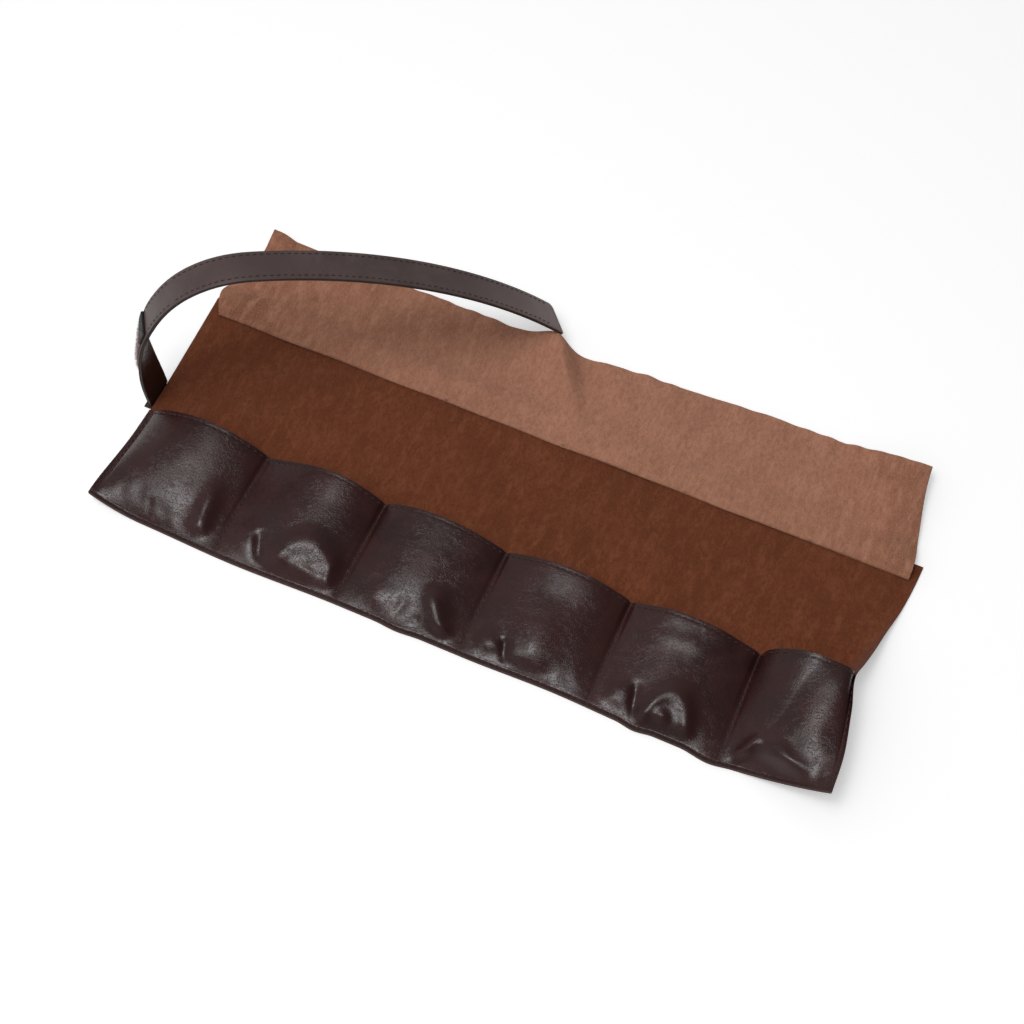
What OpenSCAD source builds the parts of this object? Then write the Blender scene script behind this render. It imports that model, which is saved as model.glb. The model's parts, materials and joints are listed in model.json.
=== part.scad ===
// Roll-up travel case for six wristwatches: a leather panel, six sewn pockets, a fold-over flap and a strap.
// It lies open and flat. X runs along its length, Y from the pockets to the flap, Z up.
// The origin is on the table, under the middle of the body panel.

/* [Body panel] */
// Length of the open case
case_len = 480; // [420:5:540]
// Depth of the body panel, without the flap
case_depth = 164; // [140:2:200]
// Thickness of the body leather
body_t = 1.6; // [1.2:0.1:2.4]
// How high the right end curls up
curl_rise = 24; // [0:1:30]
// Length of the stretch that curls
curl_len = 45; // [30:1:55]
// Depth of the stretch that curls fully, from the near edge
curl_depth = 42; // [20:1:50]
// How far the right end is drawn in at the near corner
draw_near = 9; // [0:1:12]
// How far the right end is drawn in at the pocket's mouth
draw_mouth = 13; // [0:1:16]

/* [Pockets] */
// Distance from the left edge to the first divider seam
first_pocket = 86.5; // [80:0.5:95]
// Distance from the last divider seam to the right edge
last_pocket = 73.5; // [64:0.5:95]
// Depth of the pockets
pocket_depth = 71; // [60:1:80]
// Thickness of the pocket leather
pocket_t = 1.2; // [0.9:0.1:1.8]
// Width of the flat leather along a sewn outer edge
seam_band = 5; // [4:0.5:7]
// Height of each pocket's open mouth, from the left
mouth_rise = [15, 14, 14, 14, 15, 25];
// Extra height of each pocket's belly, from the left
belly_rise = [3, 5, 6, 6, 7, 5];
// Distance from a divider seam to the fold line beside it
fold_offset = 1.5; // [1.2:0.1:2.5]
// Gap between neighbouring panels at a fold line
fold_gap = 0.2; // [0.1:0.05:0.4]

/* [Flap] */
// Distance from the body's top edge to the line where the flap folds
flap_setback = 11.6; // [9:0.2:16]
// Depth of the flap beyond its fold
flap_depth = 72.6; // [55:0.2:74]
// How much shorter the flap is than the body at each end
flap_inset = 7; // [2:0.5:15]
// Thickness of the flap leather
flap_t = 1.3; // [1:0.1:1.8]
// Clearance of the closed flap over the body
flap_clear = 0.3; // [0.2:0.05:0.6]

/* [Strap] */
// Width of the strap
strap_w = 20; // [14:1:28]
// Thickness of each of the strap's two layers
strap_layer = 1.3; // [1:0.1:1.8]
// Middle of the strap's sewn end, across the case
strap_y = 1; // [-8:1:20]
// Height to which the strap stands straight up
riser_h = 48; // [40:1:60]
// Radius of the strap's first bend
first_bend_r = 67; // [55:1:80]
// Angle below level at which the first bend ends
first_bend_end = 8; // [2:1:15]
// Radius of the long second bend
second_bend_r = 290; // [250:5:330]
// Angle below level of the strap's tip
tip_dip = 49.5; // [45:0.5:54]
// Direction in which the strap leans back over the flap
strap_heading = 34.6; // [28:0.2:40]
// Height up to which the strap twists
twist_end = 85; // [60:1:100]
// Length of the thinned tab sewn under the body
tab_len = 20; // [12:1:30]
// Thickness of the thinned tab
tab_t = 0.75; // [0.5:0.05:0.9]
// How much longer the tip's near edge is than its middle
tip_slant = 3; // [0:0.5:5]
// Distance along the strap to the bend by which it swings aside
swing_at = 40; // [30:1:46]
// Distance along the strap to the bend that lifts its end
flex_at = 200; // [180:5:230]

/* [Hook and loop] */
// Length of each patch
patch_len = 34; // [20:1:45]
// Width of each patch
patch_w = 16; // [10:1:18]
// Thickness of each patch
patch_t = 1.1; // [0.8:0.1:1.6]
// Distance along the strap to the loop patch
loop_at = 42; // [30:1:60]

/* [Stitching] */
// Distance between stitches
stitch_pitch = 4; // [3:0.25:6]
// Length of one stitch
stitch_len = 2.9; // [2:0.1:3.2]
// Width of the thread
thread_w = 0.7; // [0.4:0.1:1]
// How far the thread stands up
thread_t = 0.3; // [0.2:0.05:0.4]
// Distance from a leather edge to its stitching
stitch_inset = 3; // [2.5:0.5:4]
// Distance from the strap's edges to its stitching
strap_stitch_inset = 1.4; // [1:0.1:1.6]

/* [Hidden] */
pockets = 6;
sheet_cols = 14;
sheet_rows = 10;
fit = 0.05;
// Clearance of stitches and of the loop patch over curved leather
lift = 0.3;
patch_lift = 0.3;
left_edge = -case_len / 2;
right_edge = case_len / 2;
near_edge = -case_depth / 2;
top_edge = case_depth / 2;
mouth_y = near_edge + pocket_depth;
pocket_top = body_t + pocket_t;
// Divider seams, and the fold lines just right of them, counted from the left edge at 0
pocket_pitch = (case_len - first_pocket - last_pocket) / (pockets - 2);
seam_x = [for (i = [0:pockets]) i == 0 ? left_edge : i == pockets ? right_edge
    : left_edge + first_pocket + (i - 1) * pocket_pitch];
fold_x = [for (i = [0:pockets]) i == 0 || i == pockets ? seam_x[i] : seam_x[i] + fold_offset];
// The flap turns about a line that clears the body when it lies closed
flap_y = top_edge - flap_setback;
flap_z = body_t + max(flap_clear, thread_t) + flap_t + fit;
flap_low = flap_z + fit;
bead_r = flap_t + fit;
margin_gap = 0.3;
// Strap
strap_out = left_edge - flap_clear - strap_layer;
tab_top = 10;
first_arc = first_bend_r * (90 + first_bend_end) * PI / 180;
second_arc = second_bend_r * (tip_dip - first_bend_end) * PI / 180;
strap_len = riser_h + first_arc + second_arc;
tab_gap = 0.1;
riser_steps = 8;
lower_steps = 40;
upper_steps = 20;

leaf_colour = [0.42, 0.24, 0.17];
flap_colour = [0.57, 0.39, 0.32];
pocket_colour = [0.25, 0.17, 0.16];
strap_colour = [0.38, 0.33, 0.32];
back_colour = [0.16, 0.09, 0.08];
thread_colour = [0.3, 0.16, 0.14];
tape_colour = [0.1, 0.08, 0.08];
loop_colour = [0.5, 0.4, 0.4];

function clamp01(t) = max(0, min(1, t));
function smooth(t) = let (c = clamp01(t)) c * c * (3 - 2 * c);
function spread(a, b, n) = [for (i = [0:n]) a + (b - a) * i / n];

// Right end of the case: its pocket curls up, short of the closed flap's edge, and its own edge is drawn in
curl_end_y = flap_y - flap_depth - 2;
function end_share(x) = clamp01((x - right_edge + curl_len) / curl_len);
function curl_fade(y) = 1 - smooth((y - near_edge - curl_depth) / (curl_end_y - near_edge - curl_depth));
function draw(y) = y < mouth_y
    ? draw_near + (draw_mouth - draw_near) * smooth((y - near_edge) / pocket_depth)
    : draw_mouth * (1 - smooth((y - mouth_y) / (flap_y - mouth_y)));
function curl(p) = let (q = end_share(p.x), c = curl_fade(p.y))
    [p.x - draw(p.y) * q * q * q, p.y, p.z + curl_rise * q * q * c];

// Inside height of pocket i over the body panel
function pocket_left(i) = i == 1 ? seam_band : 1.2;
function pocket_right(i) = i == pockets ? seam_band : fold_offset + 1.8;
function pocket_rise(i, x, y) = let (
    from = fold_x[i - 1] + pocket_left(i),
    to = fold_x[i] - pocket_right(i),
    u = clamp01((x - from) / (to - from)),
    v = clamp01((y - near_edge - seam_band) / (pocket_depth - seam_band)),
    p = 4 * u * (1 - u)
) p * (1.5 - 0.5 * p) * (mouth_rise[i - 1] * (1 - (1 - v) * (1 - v)) + belly_rise[i - 1] * sin(180 * v));
function pocket_skin(i, x, y) = curl([x, y, pocket_top + pocket_rise(i, x, y)]);

// Panel edges of leaf i, with the gap at each fold line
function leaf_left(i) = fold_x[i - 1] + (i == 1 ? 0 : fold_gap / 2);
function leaf_right(i) = fold_x[i] - (i == pockets ? 0 : fold_gap / 2);
function flap_left(i) = max(leaf_left(i), left_edge + flap_inset);
function flap_right(i) = min(leaf_right(i), right_edge - flap_inset);

// Grid lines of leaf i: dense over the pocket, coarse behind it
function leaf_xs(i) = concat(
    [leaf_left(i)],
    spread(fold_x[i - 1] + pocket_left(i), fold_x[i] - pocket_right(i), sheet_cols),
    [leaf_right(i)]);
function pocket_ys() = concat([near_edge], spread(near_edge + seam_band, mouth_y, sheet_rows));
function body_ys() = concat(pocket_ys(), [for (y = spread(mouth_y, flap_y, 8)) if (y > mouth_y) y],
    [top_edge]);

// Closed sheet between a lower and an upper surface over grid lines xs and ys, then bent
module sheet(xs, ys, low, high, bend) {
    nx = len(xs);
    ny = len(ys);
    quad = function (a, b, c, d) [[a, b, c], [a, c, d]];
    top = function (i, j) (nx + i) * ny + j;
    under = function (i, j) i * ny + j;
    right = nx - 1;
    back = ny - 1;
    points = concat(
        [for (x = xs, y = ys) bend([x, y, low(x, y)])],
        [for (x = xs, y = ys) bend([x, y, high(x, y)])]);
    faces = [
        for (i = [0:right - 1], j = [0:back - 1])
            each quad(top(i, j), top(i, j + 1), top(i + 1, j + 1), top(i + 1, j)),
        for (i = [0:right - 1], j = [0:back - 1])
            each quad(under(i, j), under(i + 1, j), under(i + 1, j + 1), under(i, j + 1)),
        for (j = [0:back - 1])
            each quad(under(0, j), under(0, j + 1), top(0, j + 1), top(0, j)),
        for (j = [0:back - 1])
            each quad(under(right, j), top(right, j), top(right, j + 1), under(right, j + 1)),
        for (i = [0:right - 1])
            each quad(under(i, 0), top(i, 0), top(i + 1, 0), under(i + 1, 0)),
        for (i = [0:right - 1])
            each quad(under(i, back), under(i + 1, back), top(i + 1, back), top(i, back))
    ];
    polyhedron(points, faces);
}

// One stitch over a surface from point a to point b.
// Point d of the surface lies halfway, and point c of it to the left of d.
module stitch(a, b, c, d) {
    along = (b - a) / norm(b - a);
    side = (c - d) - ((c - d) * along) * along;
    across = side / norm(side);
    up = cross(along, across);
    m = (a + b) / 2;
    high = max(0, (d - m) * up) + lift;
    multmatrix([
        [along.x, across.x, up.x, m.x],
        [along.y, across.y, up.y, m.y],
        [along.z, across.z, up.z, m.z]
    ]) translate([0, 0, thread_t / 2 + high]) cube([norm(b - a), thread_w, thread_t], center = true);
}

// Row of stitches at from, from + pitch ... that stay inside to; at(t, side) gives a point of the surface
module stitch_row(from, to, at) {
    last = floor((to - from - stitch_len) / stitch_pitch);
    for (k = [0:last]) let (t = from + k * stitch_pitch, half = t + stitch_len / 2)
        stitch(at(t, 0), at(t + stitch_len, 0), at(half, thread_w), at(half, 0));
}

module body_panel(i) {
    color(leaf_colour)
    if (i == pockets) {
        sheet(leaf_xs(i), body_ys(), function (x, y) 0, function (x, y) body_t, function (p) curl(p));
    } else difference() {
        translate([leaf_left(i), near_edge, 0]) cube([leaf_right(i) - leaf_left(i), case_depth, body_t]);
        if (i == 1) translate([left_edge - 1, strap_y - strap_w / 2 - tab_gap, -1])
            cube([tab_len + tab_gap + 1, strap_w + 2 * tab_gap, 1 + tab_t + tab_gap]);
    }
}

module pocket_panel(i) {
    color(pocket_colour) sheet(leaf_xs(i), pocket_ys(),
        function (x, y) body_t + pocket_rise(i, x, y),
        function (x, y) pocket_top + pocket_rise(i, x, y),
        function (p) curl(p));
}

// Sewn margin of the flap, between the body's top edge and the fold
module flap_margin(i) {
    y0 = flap_y + bead_r + margin_gap;
    color(flap_colour) translate([flap_left(i), y0, body_t])
        cube([flap_right(i) - flap_left(i), top_edge - y0, flap_t]);
}

// Flap, opened away from the pockets, with the rounded fold it turns about
module flap_panel(i) {
    wide = flap_right(i) - flap_left(i);
    color(flap_colour) union() {
        translate([flap_left(i), flap_y, flap_z]) rotate([0, 90, 0]) cylinder(h = wide, r = bead_r, $fn = 48);
        translate([flap_left(i), flap_y, flap_low]) cube([wide, flap_depth, flap_t]);
    }
}

// Bottom, side and divider seams of pocket i
module seam_thread(i) {
    y = near_edge + stitch_inset;
    from = y + stitch_inset;
    to = mouth_y - 2 * stitch_inset;
    left = left_edge + stitch_inset;
    right = seam_x[i] - (i == pockets ? stitch_inset : 0);
    color(thread_colour) {
        stitch_row(leaf_left(i) + stitch_inset - 1, leaf_right(i) - stitch_inset,
            function (t, side) pocket_skin(i, t, y + side));
        stitch_row(from, to, function (t, side) pocket_skin(i, right - side, t));
        if (i == 1) stitch_row(from, to, function (t, side) pocket_skin(i, left - side, t));
    }
}

// Stitching along the mouth of pocket i. The last pocket meets its flat edge band in a sharp hollow,
// which the stitches leave free.
module hem_thread(i) {
    hem = function (t, side) pocket_skin(i, t, mouth_y - stitch_inset + side);
    hollow = right_edge - seam_band;
    color(thread_colour) {
        stitch_row(leaf_left(i) + 1, i == pockets ? hollow - thread_w : leaf_right(i) - 1, hem);
        if (i == pockets && seam_band > stitch_len + 2) stitch_row(hollow + 1.7, right_edge - 0.3, hem);
    }
}

// Stitching that holds the flap's margin to the body, lying close because the open flap is just over it
module flap_thread(i) {
    z = body_t + flap_t + fit - lift;
    color(thread_colour) stitch_row(flap_left(i) + 1, flap_right(i) - 1,
        function (t, side) [t, top_edge - stitch_inset + side, z]);
}

// Strap: angle above level, place, and twist at distance s from the table
function strap_pitch(s) = s < riser_h ? 90
    : s < riser_h + first_arc ? 90 - (s - riser_h) / first_bend_r * 180 / PI
    : -first_bend_end - (s - riser_h - first_arc) / second_bend_r * 180 / PI;
function first_bend(a) = [first_bend_r * (1 - cos(a)), riser_h + first_bend_r * sin(a)];
function strap_plane(s) = let (a = strap_pitch(s)) s < riser_h ? [0, s]
    : s < riser_h + first_arc ? first_bend(90 - a)
    : first_bend(90 + first_bend_end)
        + second_bend_r * [sin(-a) - sin(first_bend_end), cos(a) - cos(first_bend_end)];
function strap_twist(s) = -strap_heading * (1 - smooth((s - tab_top) / (twist_end - tab_top)));
// Point of the strap at distance s, v across it and n out from its middle layer
function strap_point(s, v, n) = let (
    a = strap_pitch(s), c = strap_plane(s), r = strap_twist(s),
    across = v * cos(r) - n * sin(r),
    out = v * sin(r) + n * cos(r),
    along = c[0] - out * sin(a)
) [
    strap_out + along * cos(strap_heading) - across * sin(strap_heading),
    strap_y + along * sin(strap_heading) + across * cos(strap_heading),
    c[1] + out * cos(a)
];

// Band that follows the strap from s0 to s1, wide across and between n0 and n1.
// middle is its place across the strap, and slant skews its far end.
module band(s0, s1, count, wide, n0, n1, middle = 0, slant = 0) {
    corners = [[-1, n0], [1, n0], [1, n1], [-1, n1]];
    station = function (k, side) s0 + (s1 - s0) * k / count - (k == count ? slant * side : 0);
    points = [for (k = [0:count], c = corners) strap_point(station(k, c[0]), middle + c[0] * wide / 2, c[1])];
    sides = [for (k = [0:count - 1], m = [0:3])
        let (a = 4 * k + m, b = 4 * k + (m + 1) % 4)
            each m == 2 ? [[a, a + 4, b], [a + 4, b + 4, b]] : [[a, a + 4, b + 4], [a, b + 4, b]]];
    last = 4 * count;
    ends = [[0, 1, 2], [0, 2, 3], [last, last + 2, last + 1], [last, last + 3, last + 2]];
    polyhedron(points, concat(sides, ends));
}

// Two rows of stitches along the strap's edges
module strap_thread(s0, s1) {
    last = floor((s1 - s0 - stitch_len) / stitch_pitch);
    row = strap_w / 2 - strap_stitch_inset;
    base = strap_layer + lift;
    color(thread_colour) for (side = [-1, 1], k = [0:last]) let (s = s0 + k * stitch_pitch)
        band(s, s + stitch_len, 1, thread_w, base, base + thread_t, middle = side * row);
}

// Sewn end of the strap: a thinned tab under the body, turned up at the edge
module strap_tab() {
    outside = strap_out - strap_layer;
    inside = strap_out + strap_layer;
    heel = 1.2;
    tip = left_edge + tab_len;
    color(back_colour) translate([0, strap_y + strap_w / 2, 0]) rotate([90, 0, 0])
    linear_extrude(strap_w) union() {
        polygon([[outside + heel, 0], [tip, 0], [tip, tab_t], [inside, tab_t],
            [inside, tab_top], [outside, tab_top], [outside, heel]]);
        translate([outside + heel, heel]) circle(r = heel, $fn = 48);
    }
}

// Face and lining of the strap, in the three runs between its bends
module strap_face(s0, s1, count, slant = 0) {
    color(strap_colour) band(s0, s1, count, strap_w, 0, strap_layer, slant = slant);
}
module strap_back(s0, s1, count, slant = 0) {
    color(back_colour) band(s0, s1, count, strap_w, -strap_layer, 0, slant = slant);
}

// Loop patch outside the strap near its sewn end, and the hook patch inside its tip
module loop_tape() {
    base = strap_layer + patch_lift;
    color(loop_colour) band(loop_at, loop_at + patch_len, 12, patch_w, base, base + patch_t);
}
module hook_tape() {
    end = strap_len - 2 * stitch_inset;
    base = -strap_layer - fit;
    color(tape_colour) band(end - patch_len, end, 4, patch_w, base - patch_t, base);
}

body_panel(1);  // body_panel_1
body_panel(2);  // body_panel_2
body_panel(3);  // body_panel_3
body_panel(4);  // body_panel_4
body_panel(5);  // body_panel_5
body_panel(6);  // body_panel_6
pocket_panel(1);  // pocket_panel_1
pocket_panel(2);  // pocket_panel_2
pocket_panel(3);  // pocket_panel_3
pocket_panel(4);  // pocket_panel_4
pocket_panel(5);  // pocket_panel_5
pocket_panel(6);  // pocket_panel_6
flap_margin(1);  // flap_margin_1
flap_margin(2);  // flap_margin_2
flap_margin(3);  // flap_margin_3
flap_margin(4);  // flap_margin_4
flap_margin(5);  // flap_margin_5
flap_margin(6);  // flap_margin_6
flap_panel(1);  // flap_panel_1
flap_panel(2);  // flap_panel_2
flap_panel(3);  // flap_panel_3
flap_panel(4);  // flap_panel_4
flap_panel(5);  // flap_panel_5
flap_panel(6);  // flap_panel_6
seam_thread(1);  // seam_thread_1
seam_thread(2);  // seam_thread_2
seam_thread(3);  // seam_thread_3
seam_thread(4);  // seam_thread_4
seam_thread(5);  // seam_thread_5
seam_thread(6);  // seam_thread_6
hem_thread(1);  // hem_thread_1
hem_thread(2);  // hem_thread_2
hem_thread(3);  // hem_thread_3
hem_thread(4);  // hem_thread_4
hem_thread(5);  // hem_thread_5
hem_thread(6);  // hem_thread_6
flap_thread(1);  // flap_thread_1
flap_thread(2);  // flap_thread_2
flap_thread(3);  // flap_thread_3
flap_thread(4);  // flap_thread_4
flap_thread(5);  // flap_thread_5
flap_thread(6);  // flap_thread_6
strap_tab();
strap_face(tab_top, swing_at, riser_steps);  // strap_face_riser
strap_back(tab_top, swing_at, riser_steps);  // strap_back_riser
strap_thread(tab_top + 1, swing_at);  // strap_thread_riser
strap_face(swing_at, flex_at, lower_steps);  // strap_face_lower
strap_back(swing_at, flex_at, lower_steps);  // strap_back_lower
strap_thread(swing_at + 1, flex_at);  // strap_thread_lower
strap_face(flex_at, strap_len, upper_steps, tip_slant);  // strap_face_upper
strap_back(flex_at, strap_len, upper_steps, tip_slant);  // strap_back_upper
strap_thread(flex_at + 1, strap_len - 2 * stitch_inset);  // strap_thread_upper
loop_tape();
hook_tape();
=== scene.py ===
import json
import math

import bpy
import numpy as np
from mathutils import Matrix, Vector


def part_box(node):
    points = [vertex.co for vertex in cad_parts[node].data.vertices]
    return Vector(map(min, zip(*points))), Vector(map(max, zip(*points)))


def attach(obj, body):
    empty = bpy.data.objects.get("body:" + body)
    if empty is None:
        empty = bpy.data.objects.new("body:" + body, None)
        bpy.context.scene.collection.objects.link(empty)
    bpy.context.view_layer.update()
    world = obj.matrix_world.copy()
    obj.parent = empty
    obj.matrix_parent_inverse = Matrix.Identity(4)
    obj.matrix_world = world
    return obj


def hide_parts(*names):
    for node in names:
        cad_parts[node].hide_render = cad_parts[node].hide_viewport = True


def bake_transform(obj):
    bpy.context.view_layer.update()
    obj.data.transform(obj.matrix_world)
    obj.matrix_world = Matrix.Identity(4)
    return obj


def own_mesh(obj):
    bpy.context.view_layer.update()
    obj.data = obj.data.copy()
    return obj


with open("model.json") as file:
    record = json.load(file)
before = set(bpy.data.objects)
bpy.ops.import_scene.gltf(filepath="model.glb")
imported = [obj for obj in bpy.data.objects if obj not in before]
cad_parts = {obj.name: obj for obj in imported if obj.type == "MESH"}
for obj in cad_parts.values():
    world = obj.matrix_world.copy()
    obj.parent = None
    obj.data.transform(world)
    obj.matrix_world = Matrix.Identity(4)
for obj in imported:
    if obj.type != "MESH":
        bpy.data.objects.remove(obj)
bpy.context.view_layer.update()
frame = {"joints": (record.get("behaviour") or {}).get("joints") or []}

MM = 0.001

# ---------------------------------------------------------------- sizes from the frame
JOINTS = {joint["name"]: joint for joint in frame["joints"]}
POCKETS = 6


def box_mm(node):
    low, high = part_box(node)
    return np.array(low) / MM, np.array(high) / MM


LEFT, NEAR = box_mm("body_panel_1")[0][:2]
TOP, BODY_T = box_mm("body_panel_1")[1][1:]
RIGHT = -LEFT
MOUTH = box_mm("pocket_panel_1")[1][1]
FOLDS = np.array([LEFT] + [JOINTS[f"roll_{k}"]["pos_m"][0] / MM for k in range(1, POCKETS)] + [RIGHT])
CUTS = np.concatenate([[LEFT], (FOLDS[:-1] + FOLDS[1:]) / 2, [RIGHT]])
HINGE_Y, HINGE_Z = (c / MM for c in JOINTS["flap_fold_1"]["pos_m"][1:])
POCKET_T = 1.2
FLAP_T = 1.3
FLAP_LOW = box_mm("flap_panel_2")[1][2] - FLAP_T
SEAM_OFFSET = 1.5

# ---------------------------------------------------------------- camera, first of all
CAMERA_AT = (197.3, -428.15, 902.46)
CAMERA_LOOKS_AT = (-2.64, 16.74, 0.0)
CAMERA_LENS = 59.77


def look_at(obj, place, target):
    obj.location = Vector(place) * MM
    obj.rotation_euler = (Vector(target) - Vector(place)).to_track_quat("-Z", "Y").to_euler()


camera = bpy.data.objects.new("camera", bpy.data.cameras.new("camera"))
bpy.context.scene.collection.objects.link(camera)
look_at(camera, CAMERA_AT, CAMERA_LOOKS_AT)
camera.data.lens = CAMERA_LENS
camera.data.sensor_width = 36
camera.data.clip_start = 0.05
bpy.context.scene.camera = camera


# ---------------------------------------------------------------- small mathematics
def clip01(t):
    return np.clip(t, 0.0, 1.0)


def ramp(t):
    t = clip01(t)
    return t * t * (3 - 2 * t)


def bell(t):
    return ramp(1 - np.abs(t))


def curve(x, knots):
    """Smooth curve through given (place, value) knots."""
    places = np.array([k[0] for k in knots], float)
    values = np.array([k[1] for k in knots], float)
    slopes = np.gradient(values, places)
    i = np.clip(np.searchsorted(places, x) - 1, 0, len(places) - 2)
    step = places[i + 1] - places[i]
    t = clip01((x - places[i]) / step)
    a = (1 + 2 * t) * (1 - t) ** 2 * values[i] + t * (1 - t) ** 2 * step * slopes[i]
    return a + t * t * (3 - 2 * t) * values[i + 1] + t * t * (t - 1) * step * slopes[i + 1]


def ripples(x, y, size, seed, count=10):
    """Smooth random relief of about -1 to 1, whose waves are about size long."""
    rng = np.random.default_rng(seed)
    total = 0.0
    for _ in range(count):
        angle = rng.uniform(0, math.pi)
        wave = 2 * math.pi / (size * rng.uniform(0.6, 1.7))
        total = total + np.sin(wave * (x * math.cos(angle) + y * math.sin(angle)) + rng.uniform(0, 2 * math.pi))
    return total / math.sqrt(count / 2) / 1.6


def along_line(x, y, a, b):
    """Share of the way along the line a-b, and distance to it (positive on its left)."""
    d = np.array(b, float) - np.array(a, float)
    long = math.hypot(*d)
    t = ((x - a[0]) * d[0] + (y - a[1]) * d[1]) / long ** 2
    return t, ((y - a[1]) * d[0] - (x - a[0]) * d[1]) / long


# ---------------------------------------------------------------- the case's base: curled right end, raised left corner
END_LIFT = [(-82, 24), (-60, 24), (-11, 24), (0, 19), (15, 12), (30, 6), (50, 1), (60, 0), (82, 0)]
END_START = [(-82, 178), (-50, 190), (-11, 204), (-2, 214), (10, 219), (82, 222)]
END_POWER = [(-82, 1.15), (-50, 1.35), (-11, 1.7), (82, 1.8)]
END_DRAW = [(-82, 9.7), (-60, 10.5), (-35, 15), (-11, 19.5), (0, 17), (10, 15), (30, 11.8), (49, 8.2), (67, 6), (82, 5)]
LEFT_DRAW = [(-82, 1.6), (-45, 2.0), (-7, 2.8), (36, 1.7), (82, 0)]
CORNER_LIFT = 7.0
CORNER_REACH = 38.0
# Where the right end starts to be drawn in, and how far the left end's draw reaches
DRAW_FROM = 185
LEFT_DRAW_REACH = 40


def lift(x, y):
    start = curve(y, END_START)
    q = clip01((x - start) / (RIGHT - start))
    right = np.maximum(curve(y, END_LIFT), 0) * q ** curve(y, END_POWER)
    left = CORNER_LIFT * clip01((LEFT + CORNER_REACH - x) / CORNER_REACH) ** 1.6 * (1 - ramp((y - NEAR) / 55))
    return right + left


def near_wave(x):
    """How far the near edge strays from straight, positive towards the flap."""
    out = -1.7 * bell((x + 140) / 70) - 1.0 * bell((x + 32) / 16)
    out = out - 1.4 * bell((x - 117) / 12) - 2.2 * bell((x - 162) / 18)
    return out + 1.3 * bell((x - 65) / 55)


def base(x, y, z):
    """Takes a point of the flat case to its place."""
    q = clip01((x - DRAW_FROM) / (RIGHT - DRAW_FROM))
    left = clip01((LEFT + LEFT_DRAW_REACH - x) / LEFT_DRAW_REACH) ** 2
    px = x - curve(y, END_DRAW) * q ** 2.2 + curve(y, LEFT_DRAW) * left
    py = y + near_wave(x) * (1 - ramp((y - NEAR) / 26)) + 2.3 * left * (1 - ramp((y - NEAR) / 30))
    return np.stack(np.broadcast_arrays(px, py, z + lift(x, y)), -1)


# ---------------------------------------------------------------- pockets
# Per pocket from the left: rise of the knee near the hem, of the slope above it, of the lip at the mouth,
# then where the crest lies and how full the arc is, at the mouth and near the hem
KNEE_RISE = np.array([9.0, 8.3, 8.0, 7.8, 7.6, 12.0])
SLOPE_RISE = np.array([7.0, 5.6, 4.6, 3.5, 2.4, 16.2])
LIP_RISE = np.array([0.0, 1.2, 0.6, 2.2, 3.4, 0.8])
PEAK = np.array([1.05, 1.35, 0.92, 1.1, 0.95, 0.95])
FULLNESS = np.array([0.75, 0.8, 0.72, 0.6, 0.6, 0.6])
LOW_PEAK = np.array([0.75, 1.1, 0.9, 1.0, 1.0, 0.95])
LOW_FULLNESS = np.array([0.85, 1.0, 1.0, 1.0, 1.0, 1.0])
SEAM_LINES = FOLDS[1:-1] - SEAM_OFFSET
SEAMS = np.concatenate([[LEFT], SEAM_LINES, [RIGHT]])
SIDE_BAND, SEAM_HALF, HEM_BAND = 3.4, 0.6, 2.4
SIDE_STITCH, HEM_STITCH, MOUTH_STITCH = 2.2, 1.8, 2.2


def pocket_share(x, y):
    """Number of the pocket, and shares of the way across it and up it."""
    i = np.clip(np.searchsorted(SEAMS, x) - 1, 0, POCKETS - 1)
    start = SEAMS[i] + np.where(i == 0, SIDE_BAND, SEAM_HALF)
    end = SEAMS[i + 1] - np.where(i == POCKETS - 1, SIDE_BAND, SEAM_HALF)
    return i, clip01((x - start) / (end - start)), clip01((y - NEAR - HEM_BAND) / (MOUTH - NEAR - HEM_BAND))


def swell(x, y, cx, cy, rx, front, height, back=None):
    """Round-topped bulge, or a hollow if height is negative; front and back are its reaches along Y."""
    r = np.hypot((x - cx) / rx, (y - cy) / np.where(y < cy, front, back or front))
    return height * ramp(1 - r)


def arch(x, y, cx, rx, ry, width, height, mound):
    """Ridge in the form of an arch that stands on the hem, with a steep-fronted mound inside it."""
    r = np.hypot((x - cx) / rx, (y - NEAR - HEM_BAND) / ry)
    ridge = height * np.exp(-((r - 1) * math.sqrt(rx * ry) / width) ** 2)
    return ridge + mound * ramp(1.1 - r)


def fold(x, y, a, b, width, height, fade=0.25):
    """Soft ridge along a-b, or a crease if height is negative."""
    t, d = along_line(x, y, a, b)
    return height * np.exp(-(d / width) ** 2) * ramp(t / fade) * ramp((1 - t) / fade)


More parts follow.
